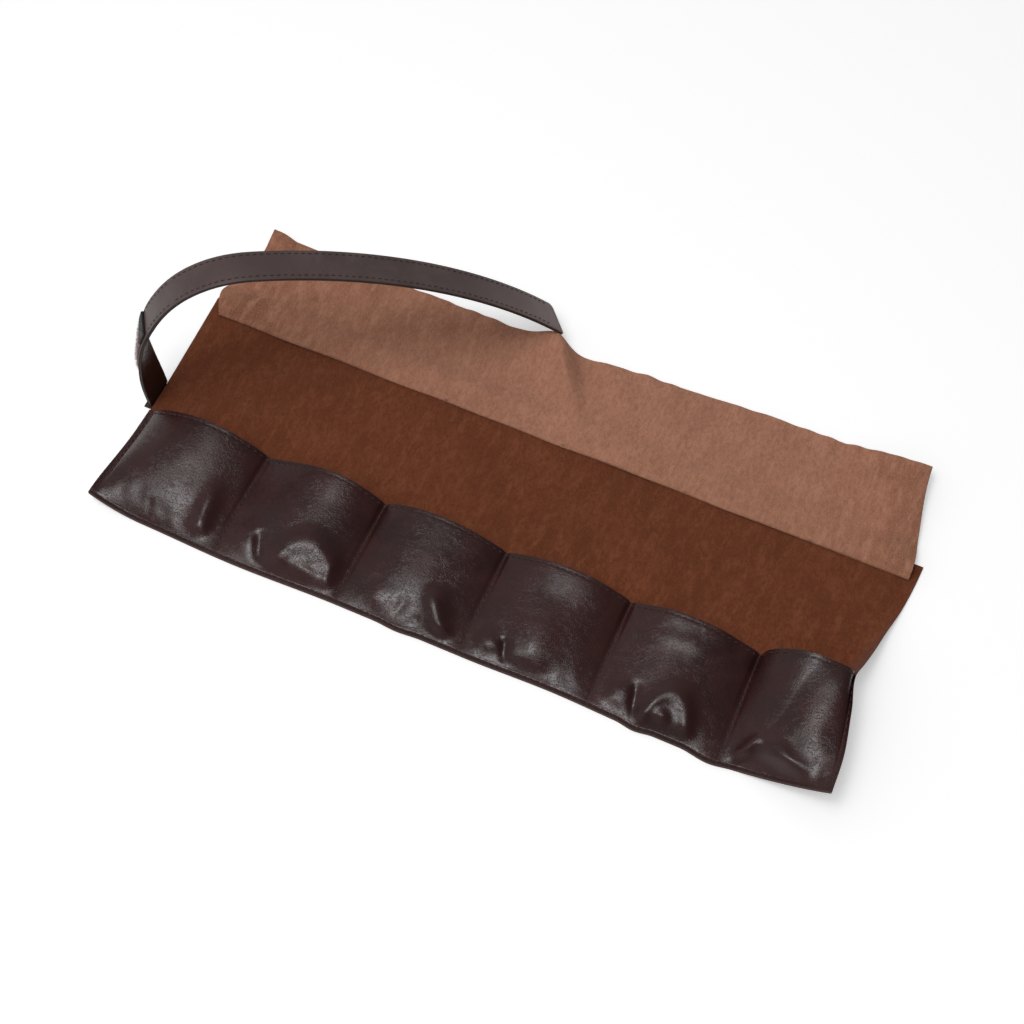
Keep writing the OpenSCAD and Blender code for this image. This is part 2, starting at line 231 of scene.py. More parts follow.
def features(x, y):
    """Bulges and creases that the contents have pressed into each pocket."""
    z = 0
    # first pocket: a ridge and a steep flank beside the divider
    z = z + fold(x, y, (-171, -36), (-166, -88), 6.0, 3.4, 0.4) + fold(x, y, (-199, -80), (-203, -66), 2.4, -0.3)
    # second: an arch over a steep front, with a crease and a low bulge at its left
    z = z + arch(x, y, -97, 18.5, 23, 7.0, 3.2, 3.0) + fold(x, y, (-134, -58), (-120, -84), 3.4, -2.0)
    z = z + swell(x, y, -139, -66, 13, 16, 1.8)
    # third: a ridge down to the right, crumpled leather before it
    z = z + fold(x, y, (-25, -50), (1, -86), 6.5, 4.2, 0.35) + fold(x, y, (-38, -84), (-33, -62), 3.0, -0.6)
    z = z + fold(x, y, (-28, -84), (-22, -70), 2.2, -0.5) + fold(x, y, (-14, -86), (-10, -74), 2.0, -0.5)
    z = z + swell(x, y, -50, -70, 14, 13, 1.2)
    # fourth: two low bulges with a crease between them
    z = z + swell(x, y, 20, -70, 11, 13, 2.0) + swell(x, y, 46, -66, 20, 16, 2.4, 34)
    z = z + fold(x, y, (29, -62), (36, -84), 3.0, -2.2)
    # fifth: a narrower arch over a knob, a crease at its left
    z = z + arch(x, y, 132, 12.5, 22, 5.6, 3.2, 2.5) + swell(x, y, 129, -72, 7, 7, 1.6)
    z = z + fold(x, y, (108, -56), (116, -84), 3.0, -1.8) + swell(x, y, 101, -68, 11, 14, 1.8)
    z = z + fold(x, y, (98, -30), (150, -24), 7.0, 1.2, 0.4)
    # sixth: a peak near the hem, with ridges running down to both corners
    z = z + fold(x, y, (187, -56), (172, -86), 4.2, 4.4, 0.4) + fold(x, y, (180, -62), (226, -84), 6.5, 4.8, 0.3)
    return z


def rise(x, y):
    """Height of the pocket's inside over the body hide."""
    i, u, v = pocket_share(x, y)
    p = 4 * u * (1 - u)
    up = ramp((v - 0.4) / 0.6)
    peak = LOW_PEAK[i] + (PEAK[i] - LOW_PEAK[i]) * up
    fullness = LOW_FULLNESS[i] + (FULLNESS[i] - LOW_FULLNESS[i]) * up
    profile = np.sin(math.pi * u ** peak) ** fullness * ramp(p * 6 + 0.25)
    height = KNEE_RISE[i] * (1 - (1 - v) ** 4) + SLOPE_RISE[i] * v
    height = height + LIP_RISE[i] * ramp((v - 0.68) / 0.32) * ramp(1.6 * p - 0.5)
    free = ramp(p * 2.2) * ramp(v * 8) * ramp((1 - v) * 4)
    crumple = 0.06 * ripples(x, y, 14, 4) + 0.2 * (1 - ramp((v - 0.05) / 0.35)) * ripples(x, y, 13, 8)
    return np.maximum(profile * height + free * (features(x, y) + crumple), 0)


def grooves(x, y):
    """Stitching pulls the pocket hide down along every seam."""
    z = 0.0
    for seam in SEAM_LINES:
        z = z - 0.2 * np.exp(-((x - seam) / 0.8) ** 2)
    for away in (y - NEAR - HEM_STITCH, MOUTH - MOUTH_STITCH - y, x - LEFT - SIDE_STITCH, RIGHT - SIDE_STITCH - x):
        z = z - 0.12 * np.exp(-(away / 0.8) ** 2)
    return z


def pocket_under(x, y):
    return base(x, y, BODY_T + rise(x, y))


def pocket_top(x, y):
    return base(x, y, BODY_T + POCKET_T + rise(x, y) + grooves(x, y))


def body_relief(x, y):
    away = ramp((y - MOUTH) / 12) * ramp((TOP - y) / 10)
    return away * (0.5 + 0.5 * ripples(x, y, 70, 21)) * 0.9 * ramp((x - LEFT) / 20) * ramp((RIGHT - x) / 20)


def body_top(x, y):
    return base(x, y, BODY_T + body_relief(x, y))


def body_under(x, y):
    return base(x, y, body_relief(x, y))


# ---------------------------------------------------------------- flap
FLAP_LEFT = -232.5
FLAP_RIGHT = 229.5
FLAP_LEFT_SHIFT = [(0, -0.5), (0.22, -6), (0.45, -2.9), (0.75, 3.2), (1, 1.9)]
FAR_EDGE = [(-233, 143), (-200, 142), (-140, 140), (-80, 139.5), (-55, 138.6), (-30, 138.6), (-8, 136.3), (20, 138.5),
            (60, 140.5), (110, 143), (180, 144), (230, 143)]


def flap_wave(x, y):
    """Height of the flap over its flat place at the hinge."""
    out = (y - HINGE_Y) / (141 - HINGE_Y)
    droop = -2.6 * ramp((y - TOP - 2) / 14)
    spine = -27 + 46 * clip01(1 - out)
    d = x - spine
    hump = 12.6 * np.where(d < 0, np.exp(-(d / 15) ** 2), np.exp(-(d / 8.5) ** 2)) * ramp((out - 0.12) / 0.8) ** 1.3
    dip = -1.4 * bell((x - spine - 22) / 16) * ramp((out - 0.3) / 0.5)
    soft = 1.6 * bell((out - 0.5 - 0.1 * np.sin(x / 60)) / 0.42) * ramp((x - 20) / 40)
    left = 4.5 * ramp((-205 - x) / 28) * ramp((out - 0.55) / 0.45)
    right = 11.0 * ramp((x - 150) / 80) ** 1.5 * ramp((out - 0.25) / 0.75)
    ends = 3.2 * ramp(out / 0.06) * (1 - ramp((out - 0.1) / 0.25)) * (ramp((-205 - x) / 25) + ramp((x - 200) / 25))
    uneven = 0.55 * ripples(x, y, 46, 33) * ramp((out - 0.08) / 0.3)
    edge = 0.9 * ripples(x, y, 24, 35) * ramp((out - 0.8) / 0.2)
    return np.maximum(droop + hump + dip + soft + left + right + ends + uneven + edge, -FLAP_LOW + 0.15)


def flap_at(x, w, z):
    """Point of the flap: w runs from 0 at the hinge to 1 at the far edge."""
    y = HINGE_Y + w * (curve(x, FAR_EDGE) - HINGE_Y)
    q = clip01((x - 120) / (FLAP_RIGHT - 120))
    left = clip01((x + 192) / (FLAP_LEFT + 192)) ** 2
    px = x - 9.5 * q ** 2 * ramp(w) - 1.0 * q * w + left * curve(w, FLAP_LEFT_SHIFT)
    return np.stack(np.broadcast_arrays(px, y, FLAP_LOW + z + flap_wave(x, y)), -1)


# ---------------------------------------------------------------- strap
LAYER = 1.3
STRAP_W = 20.0
STRAP_Y = 1.0
RISER_H, FIRST_R, FIRST_END, SECOND_R = 48.0, 67.0, 8.0, 290.0
TIP_DIP, HEADING, TWIST_FROM, TWIST_END = 49.5, 34.6, 10.0, 85.0
STRAP_OUT = LEFT - 0.3 - LAYER
FIRST_ARC = FIRST_R * math.radians(90 + FIRST_END)
SECOND_ARC = SECOND_R * math.radians(TIP_DIP - FIRST_END)
STRAP_LEN = RISER_H + FIRST_ARC + SECOND_ARC
TIP_SLANT, TIP_CORNER = 3.0, 3.5
# The strap leans back this far along its heading, by distance from the table
STRAP_SHIFT = [(0, 3), (30, 2), (60, 3.2), (90, 4.2), (120, 2.4), (150, 0.4), (180, 0), (420, 0)]


def strap_at(s, v, n):
    """Point of the strap at distance s from the table, v across it and n out from its middle."""
    s, v, n = (np.asarray(c, float) for c in (s, v, n))
    end = math.radians(FIRST_END)
    a = np.where(s < RISER_H, math.pi / 2, np.where(s < RISER_H + FIRST_ARC, math.pi / 2 - (s - RISER_H) / FIRST_R,
                                                  -end - (s - RISER_H - FIRST_ARC) / SECOND_R))
    turn = math.pi / 2 - np.maximum(a, -end)
    reach = np.where(s < RISER_H, 0, FIRST_R * (1 - np.cos(turn)))
    height = np.where(s < RISER_H, s, RISER_H + FIRST_R * np.sin(turn))
    dip = np.maximum(-a, end)
    reach = reach + SECOND_R * (np.sin(dip) - math.sin(end)) + curve(s, STRAP_SHIFT)
    height = height + SECOND_R * (np.cos(dip) - math.cos(end))
    twist = -math.radians(HEADING) * (1 - ramp((s - TWIST_FROM) / (TWIST_END - TWIST_FROM)))
    across = v * np.cos(twist) - n * np.sin(twist)
    out = v * np.sin(twist) + n * np.cos(twist)
    along = reach - out * np.sin(a)
    h = math.radians(HEADING)
    return np.stack(np.broadcast_arrays(STRAP_OUT + along * math.cos(h) - across * math.sin(h),
                                        STRAP_Y + along * math.sin(h) + across * math.cos(h),
                                        height + out * np.cos(a)), -1)


# ---------------------------------------------------------------- materials
class Nodes:
    """Short words for building a node material."""

    def __init__(self, name):
        self.mat = bpy.data.materials.new(name)
        self.mat.use_nodes = True
        self.tree = self.mat.node_tree
        self.shader = self.tree.nodes["Principled BSDF"]
        rest = self.tree.nodes.new("ShaderNodeAttribute")
        rest.attribute_name = "rest"
        self.rest = rest.outputs["Vector"]

    def add(self, kind, inputs=(), **values):
        node = self.tree.nodes.new(kind)
        for key, value in values.items():
            setattr(node, key, value)
        for socket, value in dict(inputs).items():
            if isinstance(value, bpy.types.NodeSocket):
                self.tree.links.new(value, node.inputs[socket])
            else:
                node.inputs[socket].default_value = value
        return node

    def scaled(self, x, y, z=1.0, turn=0.0):
        ins = {"Vector": self.rest, "Scale": (x, y, z), "Rotation": (0, 0, turn)}
        return self.add("ShaderNodeMapping", ins).outputs[0]

    def noise(self, scale, detail=3, rough=0.5, bend=0.0, where=None):
        ins = {"Vector": where or self.rest, "Scale": scale, "Detail": detail, "Roughness": rough, "Distortion": bend}
        return self.add("ShaderNodeTexNoise", ins).outputs["Fac"]

    def cells(self, scale, where=None):
        ins = {"Vector": where or self.rest, "Scale": scale}
        return self.add("ShaderNodeTexVoronoi", ins, feature="SMOOTH_F1").outputs["Distance"]

    def spread(self, value, low, high, to_low=0.0, to_high=1.0):
        ins = {"Value": value, "From Min": low, "From Max": high, "To Min": to_low, "To Max": to_high}
        return self.add("ShaderNodeMapRange", ins, interpolation_type="SMOOTHSTEP").outputs[0]

    def math(self, kind, a, b):
        return self.add("ShaderNodeMath", {0: a, 1: b}, operation=kind).outputs[0]

    def mix(self, share, a, b, blend="MIX"):
        node = self.add("ShaderNodeMix", {0: share}, data_type="RGBA", blend_type=blend)
        for socket, value in ((6, a), (7, b)):
            if isinstance(value, bpy.types.NodeSocket):
                self.tree.links.new(value, node.inputs[socket])
            else:
                node.inputs[socket].default_value = (*value, 1)
        return node.outputs[2]

    def bump(self, height, distance, strength=1.0, under=None):
        ins = {"Height": height, "Distance": distance, "Strength": strength}
        if under:
            ins["Normal"] = under
        return self.add("ShaderNodeBump", ins).outputs[0]

    def finish(self, colour, roughness, normal=None, **constants):
        links = self.tree.links
        links.new(colour, self.shader.inputs["Base Color"])
        if isinstance(roughness, bpy.types.NodeSocket):
            links.new(roughness, self.shader.inputs["Roughness"])
        else:
            self.shader.inputs["Roughness"].default_value = roughness
        if normal:
            links.new(normal, self.shader.inputs["Normal"])
        for key, value in constants.items():
            self.shader.inputs[key.replace("_", " ")].default_value = value
        return self.mat


def suede(name, dark, middle, light, patch=0.02, broad=0.0, blotch=0.7):
    """Napped side of a hide: cloudy patches, short brushed streaks and fibres.
    broad is how much lighter it gets from the left end to the middle, before it darkens again at the right end."""
    n = Nodes(name)
    patches = n.noise(patch, 5, 0.6, 0.6)
    brushed = n.noise(0.12, 5, 0.65, 0.3, n.scaled(1.5, 0.45, turn=0.9))
    mottle = n.noise(0.33, 5, 0.7, 0.2, n.scaled(1.3, 0.8, turn=0.9))
    fibres = n.noise(1.2, 3, 0.75, 0.2, n.scaled(1.4, 0.7, turn=0.9))
    worn = n.noise(2.2 * patch, 4, 0.6, 0.4, n.scaled(1.0, 1.4, turn=-0.5))
    along = n.add("ShaderNodeSeparateXYZ", {"Vector": n.rest}).outputs["X"]
    colour = n.mix(n.spread(patches, 0.34, 0.66), dark, middle)
    paler = n.math("MULTIPLY", n.spread(along, -230, -20, 0.0, broad), n.spread(along, 235, 120, 0.15, 1.0))
    colour = n.mix(paler, colour, light)
    colour = n.mix(n.spread(worn, 0.48, 0.7, 0.0, 0.4), colour, light)
    colour = n.mix(n.spread(brushed, 0.4, 0.7, 0.0, 0.7), colour, light)
    colour = n.mix(n.spread(mottle, 0.36, 0.68, 0.0, blotch), colour, dark)
    colour = n.mix(n.spread(fibres, 0.4, 0.66, 0.0, 0.45), colour, light)
    relief = n.bump(fibres, 0.0006, 0.8, n.bump(mottle, 0.001, 0.5))
    return n.finish(colour, 0.95, relief, Sheen_Weight=0.07, Sheen_Roughness=0.6, Specular_IOR_Level=0.06)


def grain(name, dark, light, rough=(0.24, 0.36), pores=1.8, specular=0.5, broad=0.0):
    """Polished grain side of a hide: fine pores, faint creases and cloudy colour.
    broad is how much lighter it gets from the left end to the middle."""
    n = Nodes(name)
    clouds = n.noise(0.028, 4, 0.6, 1.0)
    streaks = n.noise(0.16, 3, 0.6, 1.4)
    pebbles = n.cells(0.95)
    fine = n.noise(2.6, 3, 0.6)
    crease = n.noise(0.11, 5, 0.62, 2.2, n.scaled(1.0, 1.5))
    lines = n.math("ABSOLUTE", n.math("SUBTRACT", crease, 0.5), 0.0)
    colour = n.mix(n.spread(clouds, 0.32, 0.7), dark, light)
    colour = n.mix(n.spread(streaks, 0.5, 0.75, 0.0, 0.5), colour, dark)
    along = n.add("ShaderNodeSeparateXYZ", {"Vector": n.rest}).outputs["X"]
    colour = n.mix(n.spread(along, -110, 40, 0.0, broad), colour, [min(1.0, 2.2 * c) for c in light])
    roughness = n.spread(n.noise(0.05, 3, 0.6, 0.4), 0.3, 0.7, *rough)
    relief = n.bump(n.spread(lines, 0.0, 0.03), 0.0002, 0.12 * pores)
    relief = n.bump(pebbles, 0.0003, 0.10 * pores, relief)
    relief = n.bump(fine, 0.0002, 0.12 * pores, relief)
    return n.finish(colour, roughness, relief, Specular_IOR_Level=specular)


def cut_edge(name, dark, light):
    n = Nodes(name)
    fibres = n.noise(1.6, 3, 0.6)
    colour = n.mix(n.spread(fibres, 0.3, 0.7), dark, light)
    return n.finish(colour, 0.6, n.bump(fibres, 0.0004, 0.4), Specular_IOR_Level=0.3)


def thread(name, dark, light):
    n = Nodes(name)
    twist = n.noise(1.4, 2, 0.5)
    colour = n.mix(n.spread(twist, 0.35, 0.65), dark, light)
    return n.finish(colour, 0.5, n.bump(n.noise(5.0, 2), 0.0003, 0.5), Specular_IOR_Level=0.35)


BODY_SUEDE = suede("body_suede", (0.125, 0.033, 0.013), (0.180, 0.048, 0.0188), (0.250, 0.080, 0.036),
                   blotch=0.9)
FLAP_SUEDE = suede("flap_suede", (0.250, 0.098, 0.054), (0.380, 0.158, 0.094), (0.560, 0.275, 0.180), 0.013, 0.55, 0.5)
POCKET_GRAIN = grain("pocket_grain", (0.027, 0.0082, 0.0076), (0.044, 0.0130, 0.0118), (0.20, 0.27), specular=0.42)
UNDER_GRAIN = grain("under_grain", (0.018, 0.008, 0.007), (0.030, 0.014, 0.012), (0.34, 0.5))
STRAP_GRAIN = grain("strap_grain", (0.076, 0.050, 0.047), (0.102, 0.070, 0.066), (0.42, 0.52), 0.8, 0.4, 1.0)
STRAP_LINING = grain("strap_lining", (0.016, 0.007, 0.006), (0.030, 0.013, 0.011), (0.26, 0.4))
BODY_EDGE = cut_edge("body_cut_edge", (0.035, 0.014, 0.010), (0.085, 0.036, 0.025))
POCKET_EDGE = cut_edge("pocket_cut_edge", (0.040, 0.018, 0.015), (0.095, 0.048, 0.040))
FLAP_EDGE = cut_edge("flap_cut_edge", (0.120, 0.052, 0.034), (0.230, 0.110, 0.075))
STRAP_EDGE = cut_edge("strap_cut_edge", (0.040, 0.027, 0.024), (0.078, 0.054, 0.048))
SEAM_THREAD = thread("seam_thread", (0.030, 0.013, 0.012), (0.070, 0.034, 0.030))
DARK_THREAD = thread("dark_thread", (0.020, 0.013, 0.012), (0.050, 0.033, 0.031))
FLAP_SEAM_THREAD = thread("flap_seam_thread", (0.090, 0.045, 0.034), (0.180, 0.100, 0.080))
LOOP_TAPE = thread("loop_tape_weave", (0.110, 0.075, 0.075), (0.300, 0.220, 0.220))
LOOP_PILE = thread("loop_pile_fibres", (0.420, 0.270, 0.270), (0.750, 0.600, 0.600))
HOOK_TAPE = thread("hook_tape_weave", (0.008, 0.006, 0.006), (0.030, 0.022, 0.022))


# ---------------------------------------------------------------- mesh making
def normals_of(points, flip=False):
    du = np.gradient(points, axis=0)
    dv = np.gradient(points, axis=1)
    n = np.cross(du, dv)
    n = n / np.maximum(np.linalg.norm(n, axis=-1, keepdims=True), 1e-12)
    return -n if flip else n


def new_mesh(name, points, faces, kinds, materials, face_normals=None, rest=None):
    """Mesh object from points in millimetres; kinds are the faces' material numbers."""
    mesh = bpy.data.meshes.new(name)
    mesh.from_pydata((points * MM).tolist(), [], faces)
    for m in materials:
        mesh.materials.append(m)
    mesh.polygons.foreach_set("material_index", np.asarray(kinds, np.int32))
    mesh.polygons.foreach_set("use_smooth", np.ones(len(faces), bool))
    place = mesh.attributes.new("rest", "FLOAT_VECTOR", "POINT")
    place.data.foreach_set("vector", np.asarray(points if rest is None else rest, np.float32).ravel())
    if face_normals is not None:
        mesh.normals_split_custom_set(face_normals.tolist())
    mesh.update()
    obj = bpy.data.objects.new(name, mesh)
    bpy.context.scene.collection.objects.link(obj)
    return obj


ROUND_RIM = ((0.12, 0.16), (0.35, 0.26), (0.65, 0.26), (0.88, 0.16))
LAYERED_RIM = ((0.06, 0.16), (0.22, 0.28), (0.4, 0.22), (0.5, -0.12), (0.6, 0.22), (0.78, 0.28), (0.94, 0.16))


def sheet(name, top, under, materials, cut=(), rim=ROUND_RIM, top_n=None, under_n=None):
    """Closed sheet of leather between two grids of points. Its sides in cut are flat; the rest are rounded rims.
    materials are those of the top, the underside and the rim."""
    nu, nv = top.shape[:2]
    top_n = normals_of(top) if top_n is None else top_n
    under_n = normals_of(under, True) if under_n is None else under_n
    number = np.arange(nu * nv).reshape(nu, nv)

    def quads(grid, flip):
        a, b, c, d = grid[:-1, :-1], grid[1:, :-1], grid[1:, 1:], grid[:-1, 1:]
        order = (a, d, c, b) if flip else (a, b, c, d)
        return np.stack([g.ravel() for g in order], -1)

    faces = [quads(number, False), quads(number + nu * nv, True)]
    flat_top, flat_under = top_n.reshape(-1, 3), under_n.reshape(-1, 3)
    corner_normals = [flat_top[faces[0]], flat_under[faces[1] - nu * nv]]
    ring = np.concatenate([number[:-1, 0], number[-1, :-1], number[:0:-1, -1], number[0, :0:-1]])
    out = np.zeros((nu, nv, 3))
    sides = {"near": ((slice(None), 0), (slice(None), 1)), "far": ((slice(None), -1), (slice(None), -2)),
             "left": ((0, slice(None)), (1, slice(None))), "right": ((-1, slice(None)), (-2, slice(None)))}
    for side, (edge, inner) in sides.items():
        if side not in cut:
            d = top[edge] - top[inner]
            out[edge] += d / np.maximum(np.linalg.norm(d, axis=-1, keepdims=True), 1e-9)
    out = out.reshape(-1, 3)[ring]
    out = out / np.maximum(np.linalg.norm(out, axis=-1, keepdims=True), 1e-9)
    flat, low = top.reshape(-1, 3), under.reshape(-1, 3)
    points = [flat, low]
    levels = [ring]
    count = 2 * nu * nv
    for share, proud in rim:
        points.append(flat[ring] * (1 - share) + low[ring] * share + out * proud)
        levels.append(np.arange(count, count + len(ring)))
        count += len(ring)
    levels.append(ring + nu * nv)
    for a, b in zip(levels[:-1], levels[1:]):
        faces.append(np.stack([a, b, np.roll(b, -1), np.roll(a, -1)], -1))
        corner_normals.append(np.zeros((len(ring), 4, 3)))
    kinds = np.concatenate([np.full(len(f), k) for f, k in zip(faces, [0, 1] + [2] * len(faces))])
    return new_mesh(name, np.concatenate(points), np.concatenate(faces).tolist(), kinds, materials,
                    np.concatenate(corner_normals).reshape(-1, 3))


def tubes(name, lines, radius, material, sides=6, flat=0.75):
    """Many short threads in one mesh: lines holds centre points and normals, both (count, rings, 3), and the
    share of the radius at each ring."""
    centres, normals, widths = lines
    count, rings = centres.shape[:2]
    tangent = np.gradient(centres, axis=1)
    tangent /= np.maximum(np.linalg.norm(tangent, axis=-1, keepdims=True), 1e-9)
    side = np.cross(normals, tangent)
    side /= np.maximum(np.linalg.norm(side, axis=-1, keepdims=True), 1e-9)
    up = np.cross(tangent, side)
    turn = np.arange(sides) * 2 * math.pi / sides
    ring = np.cos(turn)[:, None] * side[:, :, None] + flat * np.sin(turn)[:, None] * up[:, :, None]
    points = centres[:, :, None] + radius * widths[None, :, None, None] * ring
    index = np.arange(count * rings * sides).reshape(count, rings, sides)
    a, b = index[:, :-1], index[:, 1:]
    walls = np.stack([a, np.roll(a, -1, 2), np.roll(b, -1, 2), b], -1).reshape(-1, 4)
    faces = walls.tolist() + index[:, 0, ::-1].tolist() + index[:, -1].tolist()
    return new_mesh(name, points.reshape(-1, 3), faces, np.zeros(len(faces)), [material])


STITCH_PITCH = 4.0
STITCH_LEN = 3.0
THREAD_R = 0.32
ARCH = np.array([-0.25, 0.1, 0.24, 0.24, 0.1, -0.25])
TAPER = np.array([0.55, 0.95, 1.0, 1.0, 0.95, 0.55])


def stitches_on(surface, x, y, dx, dy, seed=1, length=STITCH_LEN):
    """Centre points and normals of stitches that start at (x, y) on surface and run along (dx, dy)."""
    rng = np.random.default_rng(seed)
    x, y = np.atleast_1d(x).astype(float), np.atleast_1d(y).astype(float)
    t = np.linspace(0, 1, len(ARCH)) * length
    slip = rng.uniform(-0.12, 0.12, (len(x), 1))
    px = x[:, None] + t * dx + slip * dy
    py = y[:, None] + t * dy + slip * dx
    step = 0.3
    point = surface(px, py)
    normal = np.cross(surface(px + step, py) - point, surface(px, py + step) - point)
    normal /= np.linalg.norm(normal, axis=-1, keepdims=True)
    return point + normal * (ARCH * rng.uniform(0.8, 1.2, (len(x), 1)))[..., None], normal


def follow_leaves(piece, strip):
    """Strip 0 rides the first leaf, the last strip the last leaf, and each strip between stays where it is, its place
    baked into its points.
    """
    if strip == 0:
        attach(piece, "leaf_1")
    elif strip == POCKETS:
        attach(piece, f"leaf_{POCKETS}")
    else:
        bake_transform(piece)


def node_number(strip):
    return min(strip + 1, POCKETS)


def dense(a, b, step, fine_at=(), fine=0.5, reach=4):
    """Places from a to b, closer together within reach of those in fine_at."""
    places = [a]
    while places[-1] < b - fine / 2:
        near = any(abs(places[-1] - place) < reach for place in fine_at)
        places.append(min(b, places[-1] + (fine if near else step)))
    return np.array(places)


def grid_columns(step):
    """Columns of a case-long grid that has a line at every cut, and where each strip starts in it."""
    columns, starts = [], [0]
    for a, b in zip(CUTS[:-1], CUTS[1:]):
        columns.extend(dense(a, b, step, SEAM_LINES, step / 2, 3)[:-1])
        starts.append(len(columns))
    columns.append(CUTS[-1])
    return np.array(columns), starts


def long_sheet(kind, step, rows, top_of, under_of, materials, node, ends=(LEFT, RIGHT)):
    """A hide as long as the case, made in strips that meet halfway between the fold lines; the end strips ride the end
    leaves.
    """
    xs, starts = grid_columns(step)
    xs = np.clip(xs, *ends)
    x, y = np.meshgrid(xs, rows, indexing="ij")
    top, under = top_of(x, y), under_of(x, y)
    top_n, under_n = normals_of(top), normals_of(under, True)
    for strip, (a, b) in enumerate(zip(starts[:-1], starts[1:])):
        part = slice(a, b + 1)
        cut = ([] if strip == 0 else ["left"]) + ([] if strip == POCKETS else ["right"])
        piece = sheet(f"{kind}_{strip + 1}", top[part], under[part], materials, cut,
                      top_n=top_n[part], under_n=under_n[part])
        follow_leaves(piece, strip)
        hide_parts(f"{node}_{node_number(strip)}")


# ---------------------------------------------------------------- body, pockets
BODY_ROWS = dense(NEAR, TOP, 1.6, (NEAR, TOP), 0.6, 3)
long_sheet("body_hide", 1.5, BODY_ROWS, body_top, body_under, [BODY_SUEDE, UNDER_GRAIN, BODY_EDGE],
           "body_panel")

POCKET_ROWS = dense(NEAR, MOUTH, 0.8, (NEAR + HEM_STITCH, MOUTH - MOUTH_STITCH), 0.4, 3)
long_sheet("pocket_hide", 0.75, POCKET_ROWS, pocket_top, pocket_under, [POCKET_GRAIN, BODY_SUEDE, POCKET_EDGE],
           "pocket_panel")


def seam_rows():
    """Start points and directions of every stitch on the pockets."""
    rows = []
    along = np.arange(LEFT + 2.2, RIGHT - 5, STITCH_PITCH)
    rows.append((along, np.full_like(along, NEAR + HEM_STITCH), 1, 0))
    rows.append((along, np.full_like(along, MOUTH - MOUTH_STITCH), 1, 0))
    up = np.arange(NEAR + 5.5, MOUTH - 7, STITCH_PITCH)
    for x in [LEFT + SIDE_STITCH, *SEAM_LINES, RIGHT - SIDE_STITCH]:
        rows.append((np.full_like(up, x), up, 0, 1))
    return rows


def strip_of(x):
    return np.clip(np.searchsorted(CUTS, x, side="right") - 1, 0, POCKETS)


def stitch_pieces(kind, rows, surface, material, nodes):
    found = {strip: [] for strip in range(POCKETS + 1)}
    for number, (x, y, dx, dy) in enumerate(rows):
        which = strip_of(x + dx * STITCH_LEN / 2)
        for strip in found:
            keep = which == strip
            if keep.any():
                found[strip].append(stitches_on(surface, x[keep], y[keep], dx, dy, number * 10 + strip))
    for strip, parts in found.items():
        centres = np.concatenate([p[0] for p in parts])
        normals = np.concatenate([p[1] for p in parts])
        piece = tubes(f"{kind}_{strip + 1}", (centres, normals, TAPER), THREAD_R, material)
        follow_leaves(piece, strip)
        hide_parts(*[f"{node}_{node_number(strip)}" for node in nodes])


stitch_pieces("pocket_stitches", seam_rows(), pocket_top, SEAM_THREAD, ["seam_thread", "hem_thread"])


# ---------------------------------------------------------------- flap margin, fold and flap
MARGIN_NEAR = HINGE_Y + 0.4


def margin_under(x, y):
    return base(np.clip(x, FLAP_LEFT, FLAP_RIGHT + 4), y, BODY_T + 0.02 + 0.25 * ramp((TOP - 4 - y) / 5))


def margin_top(x, y):
    return margin_under(x, y) + np.array([0, 0, FLAP_T])


MARGIN_STITCH = 3
MARGIN_ROWS = dense(MARGIN_NEAR, TOP, 1.2, (TOP,), 0.5, 2)
long_sheet("flap_margin_hide", 2.0, MARGIN_ROWS, margin_top, margin_under, [UNDER_GRAIN, FLAP_SUEDE, FLAP_EDGE],
           "flap_margin", (FLAP_LEFT, FLAP_RIGHT))


def margin_rows():
    along = np.arange(FLAP_LEFT + 1, FLAP_RIGHT - 3, STITCH_PITCH)
    return [(along, np.full_like(along, TOP - MARGIN_STITCH), 1, 0)]


stitch_pieces("flap_seam_stitches", margin_rows(), margin_top, FLAP_SEAM_THREAD, ["flap_thread"])

OVERLAP = 1.4
NOSE_R = FLAP_T + 0.05
FLAP_STEP = 1.5


def flap_ends(i):
    a = FLAP_LEFT if i == 0 else FOLDS[i] - OVERLAP
    b = FLAP_RIGHT if i == POCKETS - 1 else FOLDS[i + 1] + OVERLAP
    return a, b


def flap_nose(i):
    """Rounded fold that joins the sewn margin to the open flap."""
    a, b = flap_ends(i)
    xs = np.linspace(a, b, int((b - a) / 3) + 2)
    turn = np.linspace(-math.pi / 2, math.pi / 2, 15)
    x, t = np.meshgrid(xs, turn, indexing="ij")
    wander = 0.35 * ripples(x, 0 * x, 60, 51) * np.cos(t)
    outer = np.stack([x, HINGE_Y + 0.1 - (NOSE_R + wander) * np.cos(t), HINGE_Z + 0.99 * NOSE_R * np.sin(t)], -1)
    inner = np.stack([x, HINGE_Y + 0.4 + 0 * t, HINGE_Z + 0.97 * NOSE_R * np.sin(t)], -1)
    piece = sheet(f"flap_fold_{i + 1}", inner, outer, [UNDER_GRAIN, FLAP_SUEDE, FLAP_EDGE],
                  ("left", "right", "near", "far"), rim=((0.5, 0.0),))
    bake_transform(piece)


